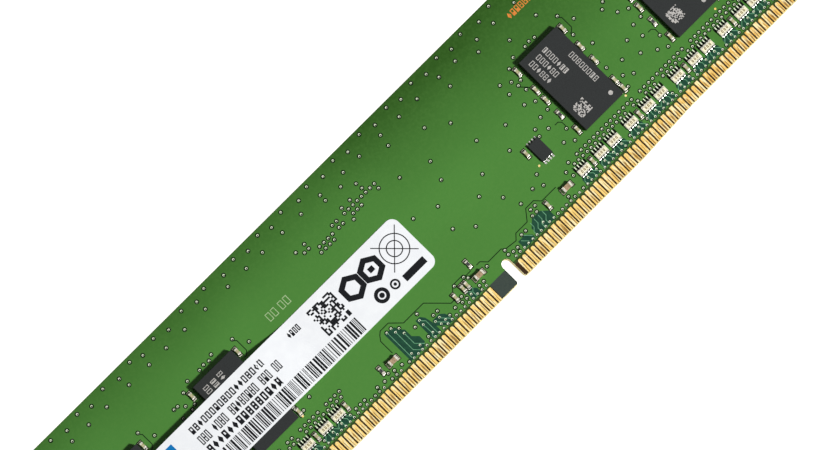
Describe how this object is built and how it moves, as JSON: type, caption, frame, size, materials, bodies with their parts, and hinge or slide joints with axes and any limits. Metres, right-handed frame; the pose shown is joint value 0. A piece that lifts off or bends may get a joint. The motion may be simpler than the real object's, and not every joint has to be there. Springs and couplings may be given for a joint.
{
  "type": "ram module",
  "caption": "Flat green memory board with black memory packages, small ceramic parts, gold edge contacts, a key notch and a white label.",
  "frame": {"origin": "centre of the board's underside, half way along its length and half way up its height", "axes": "+X along the board's length, with the shorter contact group on the +X side of the key notch; +Y from the contact edge to the top edge; +Z out of the component side"},
  "size_m": [0.1334, 0.0312, 0.0026],
  "materials": {
    "laminate": "glass-epoxy laminate, cream where it is milled",
    "copper": "copper foil",
    "solder_mask": "satin green solder mask",
    "contact_gold": "hard gold plating",
    "land_gold": "plated copper",
    "tin": "tin plating",
    "solder": "reflowed solder",
    "silicon": "polished silicon",
    "mould_compound": "fine matte moulding compound",
    "package_substrate": "dark green package laminate",
    "small_capacitor_ceramic": "satin beige ceramic",
    "bulk_capacitor_ceramic": "satin brown ceramic",
    "alumina": "white alumina",
    "black_glaze": "black protective glaze",
    "cream_glaze": "cream protective glaze",
    "label_film": "satin white label film",
    "label_ink": "black ribbon print on the label",
    "label_blue_ink": "blue print on the label",
    "laser_mark": "pale laser marking on the moulding compound",
    "legend_ink": "pale legend ink on the board",
    "copper_legend": "marks etched in bare copper",
    "mask_over_laminate": "solder mask where no copper lies under it",
    "mask_over_trace": "solder mask over a copper trace",
    "via_rim": "mask-covered rim of a plated via"
  },
  "bodies": {
    "root": {"array_ceramics": "alumina", "array_overcoats": "cream_glaze", "array_terminals": "tin", "ball_lands": "land_gold", "bulk_capacitor_ceramics": "bulk_capacitor_ceramic", "bulk_capacitor_terminals": "tin", "component_lands": "land_gold", "dram_1_die": "silicon", "dram_1_moulded_cap": "mould_compound", "dram_1_solder_balls": "solder", "dram_1_substrate": "package_substrate", "dram_2_die": "silicon", "dram_2_moulded_cap": "mould_compound", "dram_2_solder_balls": "solder", "dram_2_substrate": "package_substrate", "dram_3_die": "silicon", "dram_3_moulded_cap": "mould_compound", "dram_3_solder_balls": "solder", "dram_3_substrate": "package_substrate", "dram_4_die": "silicon", "dram_4_moulded_cap": "mould_compound", "dram_4_solder_balls": "solder", "dram_4_substrate": "package_substrate", "edge_contacts_back_left": "contact_gold", "edge_contacts_back_right": "contact_gold", "edge_contacts_front_left": "contact_gold", "edge_contacts_front_right": "contact_gold", "inner_ground_plane": "copper", "inner_power_plane": "copper", "pcb_core": "laminate", "pcb_prepreg_back": "laminate", "pcb_prepreg_front": "laminate", "product_label": "label_film", "resistor_ceramics": "alumina", "resistor_overcoats": "black_glaze", "resistor_terminals": "tin", "small_capacitor_ceramics": "small_capacitor_ceramic", "small_capacitor_terminals": "tin", "solder_joints": "solder", "solder_mask_back": "solder_mask", "solder_mask_front": "solder_mask", "spd_memory_body": "mould_compound", "spd_memory_die": "silicon", "spd_memory_terminals": "tin"}
  },
  "joints": []
}
